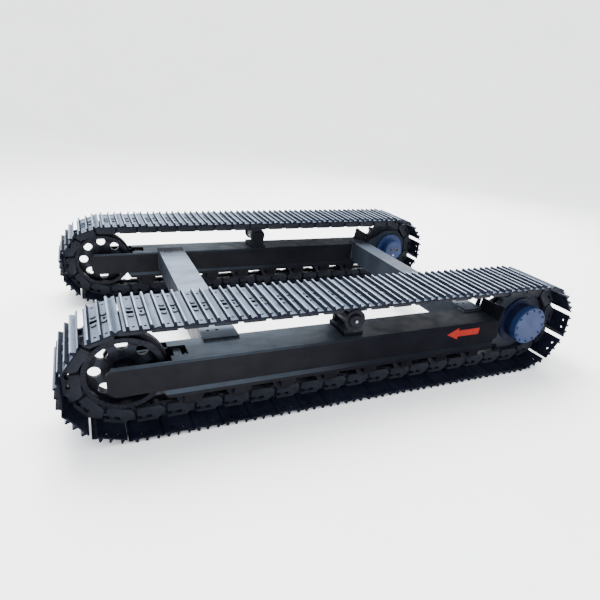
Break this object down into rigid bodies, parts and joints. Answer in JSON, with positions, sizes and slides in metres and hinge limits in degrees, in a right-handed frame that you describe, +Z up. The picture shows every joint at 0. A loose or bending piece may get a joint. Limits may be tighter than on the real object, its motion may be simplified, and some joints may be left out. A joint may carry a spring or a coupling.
{
  "type": "crawler undercarriage",
  "caption": "Steel crawler undercarriage: two tracked side frames with idler, sprocket, rollers and triple-grouser shoes, joined by crossbeams.",
  "frame": {"origin": "on the ground plane below the middle of the bounding box", "axes": "+X from the idlers to the sprockets, +Y to the left-hand track, +Z up"},
  "size_m": [3.9948, 2.7, 0.7949],
  "materials": {
    "track_shoe_steel": "worn blue-grey paint over steel",
    "chain_steel": "dark forged steel",
    "bolt_steel": "dark zinc",
    "sprocket_steel": "dark cast steel",
    "cover_paint": "blue satin paint",
    "drive_paint": "dark navy satin paint",
    "frame_paint": "charcoal satin paint",
    "beam_paint": "light grey satin paint",
    "roller_steel": "near-black satin paint",
    "bare_steel": "oiled steel"
  },
  "bodies": {
    "chassis": {"carrier_brackets": "frame_paint", "crossbeam_front": "beam_paint", "crossbeam_rear": "beam_paint", "idler_yokes": "frame_paint", "motor_brackets": "beam_paint", "recoil_units": "bare_steel", "roller_shafts": "frame_paint", "side_frame_left": "frame_paint", "side_frame_right": "frame_paint", "travel_motors": "cover_paint"},
    "top_run_right": {"top_run_bolts_right": "bolt_steel", "top_run_links_right": "chain_steel", "top_run_shoes_right": "track_shoe_steel"},
    "bottom_run_right": {"bottom_run_bolts_right": "bolt_steel", "bottom_run_links_right": "chain_steel", "bottom_run_shoes_right": "track_shoe_steel"},
    "drive_wheel_right": {"sprocket_wrap_bolts_right": "bolt_steel", "sprocket_wrap_links_right": "chain_steel", "sprocket_wrap_shoes_right": "track_shoe_steel", "sprocket_right": "sprocket_steel", "drive_hub_right": "drive_paint", "drive_cover_right": "cover_paint"},
    "idler_wheel_right": {"idler_wrap_bolts_right": "bolt_steel", "idler_wrap_links_right": "chain_steel", "idler_wrap_shoes_right": "track_shoe_steel", "idler_right": "roller_steel"},
    "track_roller_1_right": {"track_roller_1_right": "roller_steel"},
    "track_roller_2_right": {"track_roller_2_right": "roller_steel"},
    "track_roller_3_right": {"track_roller_3_right": "roller_steel"},
    "track_roller_4_right": {"track_roller_4_right": "roller_steel"},
    "track_roller_5_right": {"track_roller_5_right": "roller_steel"},
    "track_roller_6_right": {"track_roller_6_right": "roller_steel"},
    "track_roller_7_right": {"track_roller_7_right": "roller_steel"},
    "track_roller_8_right": {"track_roller_8_right": "roller_steel"},
    "carrier_roller_right": {"carrier_roller_right": "roller_steel"},
    "top_run_left": {"top_run_bolts_left": "bolt_steel", "top_run_links_left": "chain_steel", "top_run_shoes_left": "track_shoe_steel"},
    "bottom_run_left": {"bottom_run_bolts_left": "bolt_steel", "bottom_run_links_left": "chain_steel", "bottom_run_shoes_left": "track_shoe_steel"},
    "drive_wheel_left": {"sprocket_wrap_bolts_left": "bolt_steel", "sprocket_wrap_links_left": "chain_steel", "sprocket_wrap_shoes_left": "track_shoe_steel", "sprocket_left": "sprocket_steel", "drive_hub_left": "drive_paint", "drive_cover_left": "cover_paint"},
    "idler_wheel_left": {"idler_wrap_bolts_left": "bolt_steel", "idler_wrap_links_left": "chain_steel", "idler_wrap_shoes_left": "track_shoe_steel", "idler_left": "roller_steel"},
    "track_roller_1_left": {"track_roller_1_left": "roller_steel"},
    "track_roller_2_left": {"track_roller_2_left": "roller_steel"},
    "track_roller_3_left": {"track_roller_3_left": "roller_steel"},
    "track_roller_4_left": {"track_roller_4_left": "roller_steel"},
    "track_roller_5_left": {"track_roller_5_left": "roller_steel"},
    "track_roller_6_left": {"track_roller_6_left": "roller_steel"},
    "track_roller_7_left": {"track_roller_7_left": "roller_steel"},
    "track_roller_8_left": {"track_roller_8_left": "roller_steel"},
    "carrier_roller_left": {"carrier_roller_left": "roller_steel"}
  },
  "joints": [
    {"name": "track_travel_right", "type": "slide", "parent": "chassis", "child": "top_run_right", "axis": [1, 0, 0], "range_m": [-0.045, 0.045]},
    {"name": "ground_run_right", "type": "slide", "parent": "chassis", "child": "bottom_run_right", "axis": [1, 0, 0], "range_m": [-0.0455, 0.0455]},
    {"name": "sprocket_turn_right", "type": "hinge", "parent": "chassis", "child": "drive_wheel_right", "pos_m": [1.615, -1.1, 0.39743], "axis": [0, 1, 0], "range_deg": [-8.44, 8.44]},
    {"name": "idler_turn_right", "type": "hinge", "parent": "chassis", "child": "idler_wheel_right", "pos_m": [-1.615, -1.1, 0.39743], "axis": [0, 1, 0], "range_deg": [-8.44, 8.44]},
    {"name": "roller_spin_1_right", "type": "hinge", "parent": "chassis", "child": "track_roller_1_right", "pos_m": [-1.225, -1.1, 0.2113], "axis": [0, 1, 0], "continuous": true},
    {"name": "roller_spin_2_right", "type": "hinge", "parent": "chassis", "child": "track_roller_2_right", "pos_m": [-0.895, -1.1, 0.2113], "axis": [0, 1, 0], "continuous": true},
    {"name": "roller_spin_3_right", "type": "hinge", "parent": "chassis", "child": "track_roller_3_right", "pos_m": [-0.565, -1.1, 0.2113], "axis": [0, 1, 0], "continuous": true},
    {"name": "roller_spin_4_right", "type": "hinge", "parent": "chassis", "child": "track_roller_4_right", "pos_m": [-0.235, -1.1, 0.2113], "axis": [0, 1, 0], "continuous": true},
    {"name": "roller_spin_5_right", "type": "hinge", "parent": "chassis", "child": "track_roller_5_right", "pos_m": [0.095, -1.1, 0.2113], "axis": [0, 1, 0], "continuous": true},
    {"name": "roller_spin_6_right", "type": "hinge", "parent": "chassis", "child": "track_roller_6_right", "pos_m": [0.425, -1.1, 0.2113], "axis": [0, 1, 0], "continuous": true},
    {"name": "roller_spin_7_right", "type": "hinge", "parent": "chassis", "child": "track_roller_7_right", "pos_m": [0.755, -1.1, 0.2113], "axis": [0, 1, 0], "continuous": true},
    {"name": "roller_spin_8_right", "type": "hinge", "parent": "chassis", "child": "track_roller_8_right", "pos_m": [1.085, -1.1, 0.2113], "axis": [0, 1, 0], "continuous": true},
    {"name": "carrier_spin_right", "type": "hinge", "parent": "chassis", "child": "carrier_roller_right", "pos_m": [-0.055, -1.1, 0.59655], "axis": [0, 1, 0], "continuous": true},
    {"name": "track_travel_left", "type": "slide", "parent": "chassis", "child": "top_run_left", "axis": [1, 0, 0], "range_m": [-0.045, 0.045]},
    {"name": "ground_run_left", "type": "slide", "parent": "chassis", "child": "bottom_run_left", "axis": [1, 0, 0], "range_m": [-0.0455, 0.0455]},
    {"name": "sprocket_turn_left", "type": "hinge", "parent": "chassis", "child": "drive_wheel_left", "pos_m": [1.615, 1.1, 0.39743], "axis": [0, 1, 0], "range_deg": [-8.44, 8.44]},
    {"name": "idler_turn_left", "type": "hinge", "parent": "chassis", "child": "idler_wheel_left", "pos_m": [-1.615, 1.1, 0.39743], "axis": [0, 1, 0], "range_deg": [-8.44, 8.44]},
    {"name": "roller_spin_1_left", "type": "hinge", "parent": "chassis", "child": "track_roller_1_left", "pos_m": [-1.225, 1.1, 0.2113], "axis": [0, 1, 0], "continuous": true},
    {"name": "roller_spin_2_left", "type": "hinge", "parent": "chassis", "child": "track_roller_2_left", "pos_m": [-0.895, 1.1, 0.2113], "axis": [0, 1, 0], "continuous": true},
    {"name": "roller_spin_3_left", "type": "hinge", "parent": "chassis", "child": "track_roller_3_left", "pos_m": [-0.565, 1.1, 0.2113], "axis": [0, 1, 0], "continuous": true},
    {"name": "roller_spin_4_left", "type": "hinge", "parent": "chassis", "child": "track_roller_4_left", "pos_m": [-0.235, 1.1, 0.2113], "axis": [0, 1, 0], "continuous": true},
    {"name": "roller_spin_5_left", "type": "hinge", "parent": "chassis", "child": "track_roller_5_left", "pos_m": [0.095, 1.1, 0.2113], "axis": [0, 1, 0], "continuous": true},
    {"name": "roller_spin_6_left", "type": "hinge", "parent": "chassis", "child": "track_roller_6_left", "pos_m": [0.425, 1.1, 0.2113], "axis": [0, 1, 0], "continuous": true},
    {"name": "roller_spin_7_left", "type": "hinge", "parent": "chassis", "child": "track_roller_7_left", "pos_m": [0.755, 1.1, 0.2113], "axis": [0, 1, 0], "continuous": true},
    {"name": "roller_spin_8_left", "type": "hinge", "parent": "chassis", "child": "track_roller_8_left", "pos_m": [1.085, 1.1, 0.2113], "axis": [0, 1, 0], "continuous": true},
    {"name": "carrier_spin_left", "type": "hinge", "parent": "chassis", "child": "carrier_roller_left", "pos_m": [-0.055, 1.1, 0.59655], "axis": [0, 1, 0], "continuous": true}
  ],
  "couplings": [
    {"joint": "ground_run_right", "follows": "track_travel_right", "ratio": -1},
    {"joint": "sprocket_turn_right", "follows": "track_travel_right", "rad_per_m": 3.2528},
    {"joint": "idler_turn_right", "follows": "track_travel_right", "rad_per_m": 3.2528},
    {"joint": "ground_run_left", "follows": "track_travel_left", "ratio": -1},
    {"joint": "sprocket_turn_left", "follows": "track_travel_left", "rad_per_m": 3.2528},
    {"joint": "idler_turn_left", "follows": "track_travel_left", "rad_per_m": 3.2528}
  ]
}
